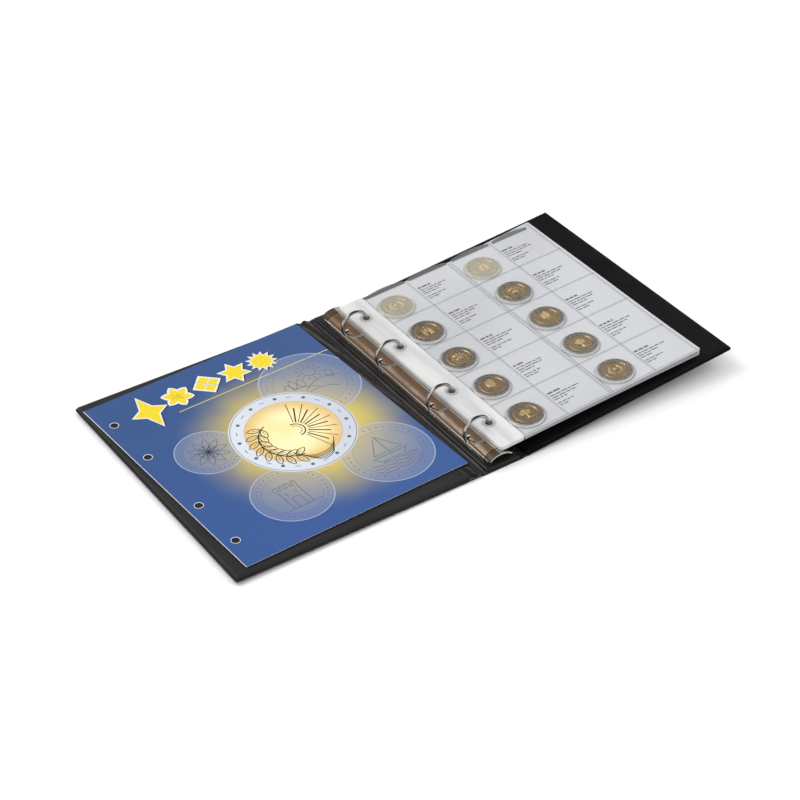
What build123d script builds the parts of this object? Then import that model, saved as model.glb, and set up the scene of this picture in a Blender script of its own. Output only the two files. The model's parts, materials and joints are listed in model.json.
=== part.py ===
from build123d import *
import os
from math import cos, radians, sin, sqrt

# Coin album: an open ring binder with stiff vinyl covers, a ring mechanism, three coin pages
# and a loose title sheet.  Millimetres.  X runs from the front cover (left) to the back cover
# (right), Y along the spine, Z up.  The origin is on the resting face, below the middle of the
# ring mechanism.

# ---- covers and spine ----
COVER_HEIGHT = 224.0        # along the spine
COVER_Y = 1.6               # middle of the covers; the holes are not quite centred on them
PANEL_WIDTH = 188.5         # a cover from its first weld to its outer edge
SKIN = 0.7                  # outer vinyl
BOARD = 2.2
LINING = 0.5                # inner vinyl
SHELL = SKIN + BOARD + LINING
FLANGE = 1.3                # the two vinyls where they are welded together
WELD_RIM = 1.6              # flat welded rim outside a board
CORNER = 2.0
LINING_ROUND = 1.2          # soft top edge of the lining over a board
FIT = 0.1                   # gap round a board in its pocket
SPINE_HALF = 14.6           # half width of the raised spine
HINGE_GAP = 0.4             # from a hinge line to the flange on each side of it
FRONT_HINGE_X = -19.0
BACK_HINGE_X = 17.5
FRONT_FLEX = 9.6            # welded strip between the hinge line and the front board
BACK_FLEX = 2.2
FRONT_TILT = 0.6            # degrees by which each cover rises outwards
BACK_TILT = 4.7

# ---- ring mechanism ----
RING_Y = (-77.5, -32.5, 32.5, 77.5)
RING_RADIUS = 10.6          # centreline
RING_Z = 12.0               # height of the ring centre
WIRE = 2.6
TIP_ANGLE = 0.8             # degrees from the top to each ring tip
LEG_BEND_AT = -22.0         # degrees, where the ring leg starts to bend inwards
LEG_RADIUS = 6.0
LEG_TURN = 26.0             # degrees
LEG_TAIL = 1.2
PLATE_HALF = 10.3
PLATE_RISE = 6.2
PLATE_BASE = 3.5            # just above the spine lining
PLATE_WALL = 1.0
PLATE_LENGTH = 200.0
SLOT_INNER = 5.2            # a slot runs from here outwards through the shoulder
SLOT_OUTER = 12.0
SLOT_WIDTH = 3.6
SLOT_FLOOR = 4.7
RAIL_INNER = 0.3
RAIL_OUTER = 8.3
RAIL_Z = 4.5
RAIL_THICK = 0.9
RAIL_LENGTH = 178.0
POST_Y = (-55.0, 55.0)
POST_RADIUS = 2.8
POST_TOP = 8.4
POST_NOTCH = 3.3
RIVET_RADIUS = 1.9
RIVET_HEAD_RADIUS = 3.9
RIVET_HEAD_Z = 0.1
RIVET_TOP = 7.5
RUNNING = 0.05              # radial clearance of pins and rivets
LEVER_PIN_Y = 97.0
LEVER_PIN_Z = 5.5
LEVER_PIN_RADIUS = 0.8
LEVER_PIN_HALF = 9.7
LEVER_START = 100.6         # a lever's shell begins here, just past the plate's end
LEVER_LENGTH = 6.4
LEVER_FLARE = 0.3           # by which a lever's outer end is wider than the plate
LEVER_WALL = 1.0
LEVER_FOOT = (4.5, 5.9)     # height of a lever's lower edge at its start and its end
TONGUE_HALF = 3.0
TONGUE_START = 89.4
BLOCK_HALF = 6.2            # narrow enough to stay under the arch when the lever tips
BLOCK_START = 94.5
BLOCK_Z = (4.6, 6.5)

# ---- pages ----
PAGE_TILT = 3.1             # degrees
PAGE_HEIGHT = 209.0
PAGE_WIDTH = 181.0
PAGE_Y = -0.5
PAGE_THICK = 0.8
INSERT_THICK = 0.4
PAGE_CORNER = 2.0
HOLE_INSET = 9.5            # from a page's inner edge to its hole centres
HOLE_RADIUS = 3.0
MARGIN_WIDTH = 21.0         # opaque strip that carries the holes
RIB_COUNT = 5
RIB_PITCH = 1.5
RIB_WIDTH = 0.6
RIB_DEPTH = 0.2
PAGE_UNDERSIDE = {"top": 0.05, "middle": -1.0, "bottom": -2.05}  # height above the ring centre
AIR = 0.05                  # gap between the stacked pieces of one page

# ---- coins: two columns of five ----
COIN_RADIUS = 12.875
COIN_THICK = 2.2
COIN_CORE_RADIUS = 9.4
COIN_COLUMNS = (36.0, 116.7)  # outwards from the ring centre
COIN_ROWS = 5
COIN_PITCH = 40.4
COIN_GRID_Y = -6.3
POCKET_RADIUS = 13.5
POCKET_WALL = 0.25
POCKET_ROOM = 0.1           # above and below a coin
POCKET_ROOM_HEIGHT = COIN_THICK + 2 * POCKET_ROOM

# ---- loose title sheet ----
SHEET_WIDTH = 185.0
SHEET_THICK = 0.5
SHEET_LIFT = 0.3            # above the front lining
SHEET_TURN = 2.5            # degrees, anticlockwise
SHEET_EDGE = (-210.5, -0.4)  # middle of its outer edge


def save(piece, label):
    """Label a finished piece and write its STEP file."""
    piece.part.label = label
    export_step(piece.part, f"parts/{label}.step")


def sloped_plane(x, z, slope):
    """A plane through (x, z) whose local X rises by slope degrees."""
    rise = radians(slope)
    return Plane(origin=(x, 0, z), x_dir=(cos(rise), 0, sin(rise)), z_dir=(-sin(rise), 0, cos(rise)))


# ---- covers: an outer skin, a board and an inner lining each ----
def make_cover(name, hinge_x, side, tilt, flex):
    """One cover, built outwards from its hinge line.  side is -1 for the front, 1 for the back."""
    plane = sloped_plane(hinge_x, 0, side * tilt)
    up = Axis(plane.origin, plane.z_dir)
    reach = flex + PANEL_WIDTH - HINGE_GAP
    middle = side * (HINGE_GAP + reach / 2)
    panel_middle = side * (flex + PANEL_WIDTH / 2)
    board_width = PANEL_WIDTH - 2 * WELD_RIM
    board_height = COVER_HEIGHT - 2 * WELD_RIM

    def footprint():
        with Locations((middle, COVER_Y)):
            outline = Rectangle(reach, COVER_HEIGHT)
        fillet(outline.vertices().sort_by(Axis.X, reverse=side > 0)[:2], CORNER)

    with BuildPart() as skin:
        with BuildSketch(plane):
            footprint()
        extrude(amount=SKIN)
    save(skin, f"{name}_outer_skin")

    with BuildPart() as lining:
        with BuildSketch(plane.offset(SKIN)):
            footprint()
        extrude(amount=FLANGE - SKIN)
        with BuildSketch(plane.offset(SKIN)):
            with Locations((panel_middle, COVER_Y)):
                RectangleRounded(board_width + 2 * LINING, board_height + 2 * LINING, CORNER)
        extrude(amount=SHELL - SKIN)
        fillet(lining.faces().sort_by(up)[-1].edges(), LINING_ROUND)
        with BuildSketch(plane.offset(SKIN)):
            with Locations((panel_middle, COVER_Y)):
                RectangleRounded(board_width, board_height, CORNER)
        extrude(amount=BOARD, mode=Mode.SUBTRACT)
    save(lining, f"{name}_lining")

    with BuildPart() as board:
        with BuildSketch(plane.offset(SKIN + AIR)):
            with Locations((panel_middle, COVER_Y)):
                RectangleRounded(board_width - 2 * FIT, board_height - 2 * FIT, CORNER)
        extrude(amount=BOARD - 2 * AIR)
    save(board, f"{name}_board")


# ---- spine: the same three layers, with holes for the rivets ----
def make_spine():
    flange_width = BACK_HINGE_X - FRONT_HINGE_X - 2 * HINGE_GAP
    flange_x = (BACK_HINGE_X + FRONT_HINGE_X) / 2
    board_height = COVER_HEIGHT - 2 * WELD_RIM
    rivets = [(0, y) for y in POST_Y]

    with BuildPart() as skin:
        with BuildSketch():
            with Locations((flange_x, COVER_Y)):
                Rectangle(flange_width, COVER_HEIGHT)
            with Locations(rivets):
                Circle(RIVET_HEAD_RADIUS + FIT, mode=Mode.SUBTRACT)
        extrude(amount=SKIN)
    save(skin, "spine_outer_skin")

    with BuildPart() as lining:
        with BuildSketch(Plane.XY.offset(SKIN)):
            with Locations((flange_x, COVER_Y)):
                Rectangle(flange_width, COVER_HEIGHT)
        extrude(amount=FLANGE - SKIN)
        with BuildSketch(Plane.XY.offset(SKIN)):
            with Locations((0, COVER_Y)):
                Rectangle(2 * SPINE_HALF, board_height + 2 * LINING)
        extrude(amount=SHELL - SKIN)
        fillet(lining.faces().sort_by(Axis.Z)[-1].edges(), LINING_ROUND)
        with BuildSketch(Plane.XY.offset(SKIN)):
            with Locations((0, COVER_Y)):
                Rectangle(2 * (SPINE_HALF - LINING), board_height)
        extrude(amount=BOARD, mode=Mode.SUBTRACT)
        with BuildSketch(Plane.XY):
            with Locations(rivets):
                Circle(RIVET_RADIUS + RUNNING)
        extrude(amount=SHELL, mode=Mode.SUBTRACT)
    save(lining, "spine_lining")

    with BuildPart() as board:
        with BuildSketch(Plane.XY.offset(SKIN + AIR)):
            with Locations((0, COVER_Y)):
                Rectangle(2 * (SPINE_HALF - LINING - FIT), board_height - 2 * FIT)
            with Locations(rivets):
                Circle(RIVET_RADIUS + RUNNING, mode=Mode.SUBTRACT)
        extrude(amount=BOARD - 2 * AIR)
    save(board, "spine_board")


# ---- mechanism: arched plate, posts, rivets ----
def arch(half, rise, wall):
    """The upper half of an elliptical ring that stands on PLATE_BASE, in a sketch of X and Z."""
    with Locations((0, PLATE_BASE)):
        Ellipse(half, rise)
        Ellipse(half - wall, rise - wall, mode=Mode.SUBTRACT)
    with Locations((0, PLATE_BASE - rise / 2)):
        Rectangle(2 * half, rise, mode=Mode.SUBTRACT)


def make_plate():
    slot_middle = (SLOT_INNER + SLOT_OUTER) / 2
    slot_places = [(side * slot_middle, y) for side in (-1, 1) for y in RING_Y]
    with BuildPart() as plate:
        with BuildSketch(Plane.XZ):
            arch(PLATE_HALF, PLATE_RISE, PLATE_WALL)
        extrude(amount=PLATE_LENGTH / 2, both=True)
        with BuildSketch(Plane.XY.offset(SLOT_FLOOR)):
            with Locations(slot_places):
                SlotOverall(SLOT_OUTER - SLOT_INNER, SLOT_WIDTH)
        extrude(amount=PLATE_RISE, mode=Mode.SUBTRACT)
        with BuildSketch(Plane.YZ):
            with Locations((-LEVER_PIN_Y, LEVER_PIN_Z), (LEVER_PIN_Y, LEVER_PIN_Z)):
                Circle(LEVER_PIN_RADIUS + RUNNING)
        extrude(amount=PLATE_HALF, both=True, mode=Mode.SUBTRACT)
    save(plate, "mechanism_plate")


def make_posts_and_rivets():
    places = [(0, y) for y in POST_Y]
    with BuildPart() as posts:
        with BuildSketch(Plane.XY.offset(SHELL)):
            with Locations(places):
                Circle(POST_RADIUS)
                Circle(RIVET_RADIUS + RUNNING, mode=Mode.SUBTRACT)
        extrude(amount=POST_TOP - SHELL)
    save(posts, "plate_posts")

    with BuildPart() as rivets:
        with BuildSketch(Plane.XY.offset(RIVET_HEAD_Z)):
            with Locations(places):
                Circle(RIVET_HEAD_RADIUS)
        extrude(amount=SKIN - RIVET_HEAD_Z)
        with BuildSketch(Plane.XY.offset(SKIN)):
            with Locations(places):
                Circle(RIVET_RADIUS)
        extrude(amount=RIVET_TOP - SKIN)
    save(rivets, "mounting_rivets")


# ---- carrier rails and ring halves ----
def make_rails():
    width = RAIL_OUTER - RAIL_INNER
    for name, side in (("left", -1), ("right", 1)):
        with BuildPart() as rail:
            with BuildSketch(Plane.XY.offset(RAIL_Z)):
                with Locations((side * (RAIL_INNER + width / 2), 0)):
                    Rectangle(width, RAIL_LENGTH)
                with Locations([(0, y) for y in POST_Y]):
                    Circle(POST_NOTCH, mode=Mode.SUBTRACT)
            extrude(amount=RAIL_THICK)
        save(rail, f"{name}_rail")


def make_ring_halves():
    """Each half runs from its tip at the top round its side, then bends in to the rail."""
    tip = 90 - TIP_ANGLE
    leg_end = LEG_BEND_AT - LEG_TURN
    inset = RING_RADIUS - LEG_RADIUS
    bend_x = inset * cos(radians(LEG_BEND_AT))
    bend_z = RING_Z + inset * sin(radians(LEG_BEND_AT))
    end_x = bend_x + LEG_RADIUS * cos(radians(leg_end))
    end_z = bend_z + LEG_RADIUS * sin(radians(leg_end))
    tail_x = end_x + LEG_TAIL * sin(radians(leg_end))
    tail_z = end_z - LEG_TAIL * cos(radians(leg_end))
    tip_x = RING_RADIUS * cos(radians(tip))
    tip_z = RING_Z + RING_RADIUS * sin(radians(tip))
    down_the_wire = (sin(radians(tip)), 0, -cos(radians(tip)))

    with BuildPart() as right:
        for y in RING_Y:
            with BuildLine(Plane.XZ.offset(-y)):
                CenterArc((0, RING_Z), RING_RADIUS, tip, LEG_BEND_AT - tip)
                CenterArc((bend_x, bend_z), LEG_RADIUS, LEG_BEND_AT, -LEG_TURN)
                Line((end_x, end_z), (tail_x, tail_z))
            with BuildSketch(Plane(origin=(tip_x, y, tip_z), z_dir=down_the_wire)):
                Circle(WIRE / 2)
            sweep()
    save(right, "right_ring_halves")

    with BuildPart() as left:
        mirror(right.part, about=Plane.YZ)
    save(left, "left_ring_halves")


# ---- trigger levers and their pins ----
def make_levers():
    for name, end in (("near", -1), ("far", 1)):
        start = Plane.XZ.offset(-end * LEVER_START)
        finish = Plane.XZ.offset(-end * (LEVER_START + LEVER_LENGTH))
        wide = PLATE_HALF + LEVER_FLARE
        foot_end = LEVER_START + LEVER_LENGTH
        with BuildPart() as lever:
            for inward, mode in ((0, Mode.ADD), (LEVER_WALL, Mode.SUBTRACT)):
                begin = start.offset(-end * inward)
                with BuildSketch(begin):
                    with Locations((0, PLATE_BASE)):
                        Ellipse(PLATE_HALF - inward, PLATE_RISE - inward)
                with BuildSketch(finish):
                    with Locations((0, PLATE_BASE)):
                        Ellipse(wide - inward, PLATE_RISE - inward)
                loft(mode=mode)
            with BuildSketch(Plane.YZ):
                with BuildLine():
                    Polyline(
                        (end * (LEVER_START - LEVER_WALL), LEVER_FOOT[0]),
                        (end * LEVER_START, LEVER_FOOT[0]),
                        (end * foot_end, LEVER_FOOT[1]),
                        (end * (foot_end + LEVER_WALL), LEVER_FOOT[1]),
                        (end * (foot_end + LEVER_WALL), -PLATE_RISE),
                        (end * (LEVER_START - LEVER_WALL), -PLATE_RISE),
                        close=True,
                    )
                make_face()
            extrude(amount=2 * PLATE_HALF, both=True, mode=Mode.SUBTRACT)
            with BuildSketch(Plane.XY.offset(BLOCK_Z[0])):
                block_length = LEVER_START - BLOCK_START
                with Locations((0, end * (BLOCK_START + block_length / 2))):
                    Rectangle(2 * BLOCK_HALF, block_length)
            extrude(amount=BLOCK_Z[1] - BLOCK_Z[0])
            with BuildSketch(Plane.XY.offset(BLOCK_Z[0])):
                tongue_length = BLOCK_START - TONGUE_START
                with Locations((0, end * (TONGUE_START + tongue_length / 2))):
                    Rectangle(2 * TONGUE_HALF, tongue_length)
            extrude(amount=RAIL_THICK)
            with BuildSketch(Plane.YZ):
                with Locations((end * LEVER_PIN_Y, LEVER_PIN_Z)):
                    Circle(LEVER_PIN_RADIUS + RUNNING)
            extrude(amount=PLATE_HALF, both=True, mode=Mode.SUBTRACT)
        save(lever, f"{name}_lever")

        with BuildPart() as pin:
            with BuildSketch(Plane.YZ):
                with Locations((end * LEVER_PIN_Y, LEVER_PIN_Z)):
                    Circle(LEVER_PIN_RADIUS)
            extrude(amount=LEVER_PIN_HALF, both=True)
        save(pin, f"{name}_lever_pin")


# ---- pages: a ring margin, a printed insert and a clear film each ----
def coin_places():
    """Coin centres in the top page's own plane."""
    middle_row = (COIN_ROWS - 1) / 2
    return [
        (column, COIN_GRID_Y + (middle_row - row) * COIN_PITCH)
        for column in COIN_COLUMNS
        for row in range(COIN_ROWS)
    ]


def page_plane(underside):
    """The plane of a page's under face, underside above the ring centre."""
    return sloped_plane(0, RING_Z, PAGE_TILT).offset(underside)


def make_page(name, underside):
    plane = page_plane(underside)
    middle_offset = underside + PAGE_THICK / 2
    holes_x = sqrt(RING_RADIUS**2 - middle_offset**2)
    inner = holes_x - HOLE_INSET
    margin_x = inner + MARGIN_WIDTH / 2
    leaf_width = PAGE_WIDTH - MARGIN_WIDTH
    leaf_x = inner + MARGIN_WIDTH + leaf_width / 2
    first_rib = inner + MARGIN_WIDTH - (RIB_COUNT - 0.5) * RIB_PITCH

    def leaf_outline():
        with Locations((leaf_x, PAGE_Y)):
            outline = Rectangle(leaf_width, PAGE_HEIGHT)
        fillet(outline.vertices().sort_by(Axis.X)[-2:], PAGE_CORNER)

    with BuildPart() as margin:
        with BuildSketch(plane):
            with Locations((margin_x, PAGE_Y)):
                outline = Rectangle(MARGIN_WIDTH, PAGE_HEIGHT)
            fillet(outline.vertices().sort_by(Axis.X)[:2], PAGE_CORNER)
            with Locations([(holes_x, y) for y in RING_Y]):
                Circle(HOLE_RADIUS, mode=Mode.SUBTRACT)
        extrude(amount=PAGE_THICK)
        with BuildSketch(plane.offset(PAGE_THICK)):
            with Locations([(first_rib + n * RIB_PITCH, PAGE_Y) for n in range(RIB_COUNT)]):
                Rectangle(RIB_WIDTH, PAGE_HEIGHT)
        extrude(amount=-RIB_DEPTH, mode=Mode.SUBTRACT)
    save(margin, f"{name}_page_margin")

    with BuildPart() as insert:
        with BuildSketch(plane):
            leaf_outline()
        extrude(amount=INSERT_THICK)
    save(insert, f"{name}_page_insert")

    with BuildPart() as film:
        with BuildSketch(plane.offset(INSERT_THICK + AIR)):
            leaf_outline()
        extrude(amount=PAGE_THICK - INSERT_THICK - AIR)
        if name == "top":
            # a round pocket stands over each coin, open underneath
            with BuildSketch(plane.offset(INSERT_THICK + AIR)):
                with Locations(coin_places()):
                    Circle(POCKET_RADIUS + POCKET_WALL)
            extrude(amount=POCKET_ROOM_HEIGHT + POCKET_WALL)
            with BuildSketch(plane.offset(INSERT_THICK + AIR)):
                with Locations(coin_places()):
                    Circle(POCKET_RADIUS)
            extrude(amount=POCKET_ROOM_HEIGHT, mode=Mode.SUBTRACT)
    save(film, f"{name}_page_film")


def make_coins():
    plane = page_plane(PAGE_UNDERSIDE["top"]).offset(INSERT_THICK + AIR + POCKET_ROOM)
    with BuildPart() as rims:
        with BuildSketch(plane):
            with Locations(coin_places()):
                Circle(COIN_RADIUS)
                Circle(COIN_CORE_RADIUS, mode=Mode.SUBTRACT)
        extrude(amount=COIN_THICK)
    save(rims, "coin_outer_rings")

    with BuildPart() as cores:
        with BuildSketch(plane):
            with Locations(coin_places()):
                Circle(COIN_CORE_RADIUS)
        extrude(amount=COIN_THICK)
    save(cores, "coin_centres")


def make_title_sheet():
    plane = sloped_plane(FRONT_HINGE_X, 0, -FRONT_TILT).offset(SHELL + SHEET_LIFT)
    turn = radians(SHEET_TURN)
    centre_x = SHEET_EDGE[0] + SHEET_WIDTH / 2 * cos(turn) - FRONT_HINGE_X
    centre_y = SHEET_EDGE[1] + SHEET_WIDTH / 2 * sin(turn)
    holes_x = HOLE_INSET - SHEET_WIDTH / 2
    with BuildPart() as sheet:
        with BuildSketch(plane):
            with Locations(Location((centre_x, centre_y, 0), (0, 0, SHEET_TURN))):
                Rectangle(SHEET_WIDTH, PAGE_HEIGHT)
                with Locations([(holes_x, y) for y in RING_Y]):
                    Circle(HOLE_RADIUS, mode=Mode.SUBTRACT)
        extrude(amount=SHEET_THICK)
    save(sheet, "title_sheet")


os.makedirs("parts", exist_ok=True)
make_cover("front", FRONT_HINGE_X, -1, FRONT_TILT, FRONT_FLEX)
make_cover("back", BACK_HINGE_X, 1, BACK_TILT, BACK_FLEX)
make_spine()
make_plate()
make_posts_and_rivets()
make_rails()
make_ring_halves()
make_levers()
for page, height in PAGE_UNDERSIDE.items():
    make_page(page, height)
make_coins()
make_title_sheet()
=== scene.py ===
import json
import math
import random

import bmesh
import bpy
from mathutils import Matrix, Vector


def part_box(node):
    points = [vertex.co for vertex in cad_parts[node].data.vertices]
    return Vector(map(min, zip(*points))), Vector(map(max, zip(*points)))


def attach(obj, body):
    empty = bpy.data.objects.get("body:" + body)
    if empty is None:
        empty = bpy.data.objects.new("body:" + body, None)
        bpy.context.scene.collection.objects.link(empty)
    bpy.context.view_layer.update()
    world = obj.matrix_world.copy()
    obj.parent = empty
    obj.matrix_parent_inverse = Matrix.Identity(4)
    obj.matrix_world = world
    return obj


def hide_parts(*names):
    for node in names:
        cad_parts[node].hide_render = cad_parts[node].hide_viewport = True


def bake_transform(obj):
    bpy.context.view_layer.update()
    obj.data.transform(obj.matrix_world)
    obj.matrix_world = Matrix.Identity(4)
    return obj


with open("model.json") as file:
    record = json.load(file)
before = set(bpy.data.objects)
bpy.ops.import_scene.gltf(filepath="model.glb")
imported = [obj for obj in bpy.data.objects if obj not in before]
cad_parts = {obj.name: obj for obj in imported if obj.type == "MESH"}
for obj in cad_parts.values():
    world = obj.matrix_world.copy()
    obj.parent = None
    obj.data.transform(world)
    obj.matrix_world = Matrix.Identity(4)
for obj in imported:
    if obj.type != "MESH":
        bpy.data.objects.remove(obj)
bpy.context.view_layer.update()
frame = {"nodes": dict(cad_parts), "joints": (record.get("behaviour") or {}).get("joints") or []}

# The looks of the coin album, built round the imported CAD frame.  Lengths are in millimetres until
# add_piece() turns them into metres.  A "flat" is (points, faces) in two dimensions, and a
# "place" is a function that puts a point of a flat, at a level, into the frame.

MM = 0.001
RANDOM = random.Random(7)

# ---- sizes shared with the CAD part ----
SKIN = 0.7
BOARD_TOP = 2.9
SHELL = 3.4
WELD_RIM = 1.7              # from a board to the outside of its welded rim
CORNER = 2.0
SPINE_HALF = 14.6
COVER_HALF_HEIGHT = 112.0
COVER_Y = 1.6
RING_Y = (-77.5, -32.5, 32.5, 77.5)
RING_RADIUS = 10.6
PAGE_TILT = 3.1
PAGE_WIDTH = 181.0
PAGE_HEIGHT = 209.0
PAGE_Y = -0.5
PAGE_THICK = 0.8
PAGE_UNDERSIDE = {"top": 0.05, "middle": -1.0, "bottom": -2.05}
CARD_THICK = 0.4
FILM_GAP = 0.05
MARGIN_WIDTH = 21.0
HOLE_INSET = 9.5
HOLE_RADIUS = 3.0
COIN_RADIUS = 12.875
COIN_CORE = 9.4
COIN_THICK = 2.2
COIN_COLUMNS = (36.0, 116.7)
COIN_ROWS = 5
COIN_PITCH = 40.4
COIN_GRID_Y = -6.3
SHEET_WIDTH = 185.0
SHEET_CUTS = 23             # lines that let a sheet bend, each way
SHEET_TURN = 2.5
SHEET_EDGE = (-210.5, -0.4)
PLATE_HALF = 10.3
PLATE_RISE = 6.2
PLATE_BASE = 3.5
PLATE_HALF_LENGTH = 100.0


def joint(name):
    return next(j for j in frame["joints"] if j["name"] == name)


def sloped(x, z, slope):
    """The matrix of a plane through (x, z) whose local X rises by slope degrees."""
    c = math.cos(math.radians(slope))
    s = math.sin(math.radians(slope))
    return Matrix(((c, 0, -s, x), (0, 1, 0, 0), (s, 0, c, z), (0, 0, 0, 1)))


def local_box(node, plane):
    """Lowest and highest corner of a CAD node in a plane's own axes."""
    inverse = plane.inverted()
    points = [inverse @ (v.co / MM) for v in frame["nodes"][node].data.vertices]
    low = Vector([min(p[i] for p in points) for i in range(3)])
    high = Vector([max(p[i] for p in points) for i in range(3)])
    return low, high


FRONT_HINGE_X = joint("front_cover_hinge")["pos_m"][0] / MM
BACK_HINGE_X = joint("back_cover_hinge")["pos_m"][0] / MM
RING_Z = joint("top_page_turn")["pos_m"][2] / MM
FRONT_TILT = -joint("front_cover_hinge")["range_deg"][0]
BACK_TILT = -joint("back_cover_hinge")["range_deg"][0]
FRONT_PLANE = sloped(FRONT_HINGE_X, 0, -FRONT_TILT)
BACK_PLANE = sloped(BACK_HINGE_X, 0, BACK_TILT)
PAGE_PLANE = sloped(0, RING_Z, PAGE_TILT)


# ---- materials ----
class Paint:
    """One Principled material, with short calls that add its nodes."""

    def __init__(self, name, colour, roughness, **sockets):
        self.material = bpy.data.materials.new(name)
        self.material.use_nodes = True
        self.tree = self.material.node_tree
        self.shader = self.tree.nodes["Principled BSDF"]
        self.shader.inputs["Base Color"].default_value = (*colour, 1)
        self.shader.inputs["Roughness"].default_value = roughness
        for socket, value in sockets.items():
            self.shader.inputs[socket.replace("_", " ")].default_value = value

    def add(self, kind, **settings):
        node = self.tree.nodes.new(kind)
        for key, value in settings.items():
            setattr(node, key, value)
        return node

    def feed(self, socket, value):
        """Link a socket to another one, or set its number."""
        if isinstance(value, bpy.types.NodeSocket):
            self.tree.links.new(value, socket)
        else:
            socket.default_value = value

    def place(self, scale=(1, 1, 1), turn=0.0, shift=(0, 0, 0)):
        """Object coordinates, scaled, turned about Z and shifted, in that order."""
        node = self.add("ShaderNodeMapping")
        node.inputs["Scale"].default_value = scale
        node.inputs["Rotation"].default_value = (0, 0, math.radians(turn))
        node.inputs["Location"].default_value = shift
        self.feed(node.inputs["Vector"], self.add("ShaderNodeTexCoord").outputs["Object"])
        return node.outputs["Vector"]

    def noise(self, vector, scale=1.0, detail=2.0, rough=0.5):
        node = self.add("ShaderNodeTexNoise")
        self.feed(node.inputs["Vector"], vector)
        node.inputs["Scale"].default_value = scale
        node.inputs["Detail"].default_value = detail
        node.inputs["Roughness"].default_value = rough
        return node.outputs["Fac"]

    def cells(self, vector, scale=1.0):
        node = self.add("ShaderNodeTexVoronoi", feature="SMOOTH_F1")
        self.feed(node.inputs["Vector"], vector)
        node.inputs["Scale"].default_value = scale
        return node.outputs["Distance"]

    def maths(self, operation, a, b=0.0):
        node = self.add("ShaderNodeMath", operation=operation)
        self.feed(node.inputs[0], a)
        self.feed(node.inputs[1], b)
        return node.outputs["Value"]

    def ease(self, value, start, end, low=0.0, high=1.0):
        """Runs smoothly from low to high as value goes from start to end."""
        node = self.add("ShaderNodeMapRange", interpolation_type="SMOOTHSTEP")
        for socket, number in zip(node.inputs[:5], (value, start, end, low, high)):
            self.feed(socket, number)
        return node.outputs["Result"]

    def mix(self, factor, a, b):
        """Colour a where factor is 0 and b where it is 1.  Each is a colour or a socket."""
        node = self.add("ShaderNodeMix", data_type="RGBA")
        self.feed(node.inputs["Factor"], factor)
        for socket, colour in ((node.inputs[6], a), (node.inputs[7], b)):
            self.feed(socket, colour if isinstance(colour, bpy.types.NodeSocket) else (*colour, 1))
        return node.outputs[2]

    def distance(self, vector, centre):
        node = self.add("ShaderNodeVectorMath", operation="DISTANCE")
        self.feed(node.inputs[0], vector)
        node.inputs[1].default_value = centre
        return node.outputs["Value"]

    def attribute(self, name):
        return self.add("ShaderNodeAttribute", attribute_name=name).outputs["Fac"]

    def colour(self, socket):
        self.feed(self.shader.inputs["Base Color"], socket)

    def roughness(self, value, low, high):
        self.feed(self.shader.inputs["Roughness"], self.ease(value, 0.3, 0.7, low, high))

    def bump(self, height, distance, strength=1.0, under=None):
        node = self.add("ShaderNodeBump")
        node.inputs["Strength"].default_value = strength
        node.inputs["Distance"].default_value = distance * MM
        self.feed(node.inputs["Height"], height)
        if under is not None:
            self.feed(node.inputs["Normal"], under)
        self.feed(self.shader.inputs["Normal"], node.outputs["Normal"])
        return node.outputs["Normal"]


def vinyl(name, colour, pale, roughness, grain, gloss):
    """Embossed vinyl: a fine pebbled grain over a slow unevenness, with dusty paler patches."""
    paint = Paint(name, colour, roughness, Specular_IOR_Level=gloss)
    everywhere = paint.place()
    slow = paint.noise(everywhere, 14, 3)
    paint.colour(paint.mix(paint.ease(slow, 0.3, 0.75), colour, pale))
    paint.roughness(paint.noise(everywhere, 60, 4), roughness - 0.06, roughness + 0.08)
    waves = paint.bump(slow, 0.9, 0.35)
    paint.bump(paint.cells(everywhere, 1000 / grain), 0.05, 0.8, under=waves)
    return paint.material


def metal(name, colour, dull, roughness, streak=(60, 2.5, 60), **sockets):
    """Plated metal: faint rolling streaks along Y and cloudy handling marks."""
    paint = Paint(name, colour, roughness, Metallic=1.0, **sockets)
    streaks = paint.noise(paint.place(scale=streak), 10, 3)
    clouds = paint.noise(paint.place(), 90, 3, 0.6)
    paint.colour(paint.mix(paint.ease(clouds, 0.35, 0.75), colour, dull))
    paint.roughness(clouds, roughness * 0.7, roughness * 1.5)
    paint.bump(streaks, 0.01, 0.5)
    return paint.material


def grey_board():
    paint = Paint("grey_board", (0.36, 0.33, 0.28), 0.9)
    fibres = paint.noise(paint.place(scale=(300, 900, 300)), 1, 4)
    paint.colour(paint.mix(fibres, (0.30, 0.27, 0.23), (0.46, 0.42, 0.36)))
    paint.bump(fibres, 0.1)
    return paint.material


def page_card():
    """Pale printed card seen through film, a little uneven in tone."""
    paint = Paint("page_card", (0.53, 0.54, 0.56), 0.45, Coat_Weight=0.35, Coat_Roughness=0.12)
    everywhere = paint.place()
    cloud = paint.noise(everywhere, 9, 3)
    paint.colour(paint.mix(paint.ease(cloud, 0.3, 0.7), (0.485, 0.495, 0.52), (0.56, 0.57, 0.59)))
    paint.bump(cloud, 1.2, 0.25)
    return paint.material


def clear_film(name, alpha, colour=(0.80, 0.82, 0.85), slant_sheen=0.3):
    """Clear film: see-through face on, and whiter and less see-through where it is seen at a slant,
    a painted sheen.
    """
    paint = Paint(name, colour, 0.10)
    weight = paint.add("ShaderNodeLayerWeight")
    weight.inputs["Blend"].default_value = 0.35
    # Alpha rises where the film faces away from the view: a painted sheen on the film.
    seen = paint.ease(weight.outputs["Facing"], 0.45, 1.0, alpha, min(1.0, alpha + slant_sheen))
    paint.feed(paint.shader.inputs["Alpha"], seen)
    paint.bump(paint.noise(paint.place(), 22, 3), 0.6, 0.3)
    return paint.material


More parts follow.
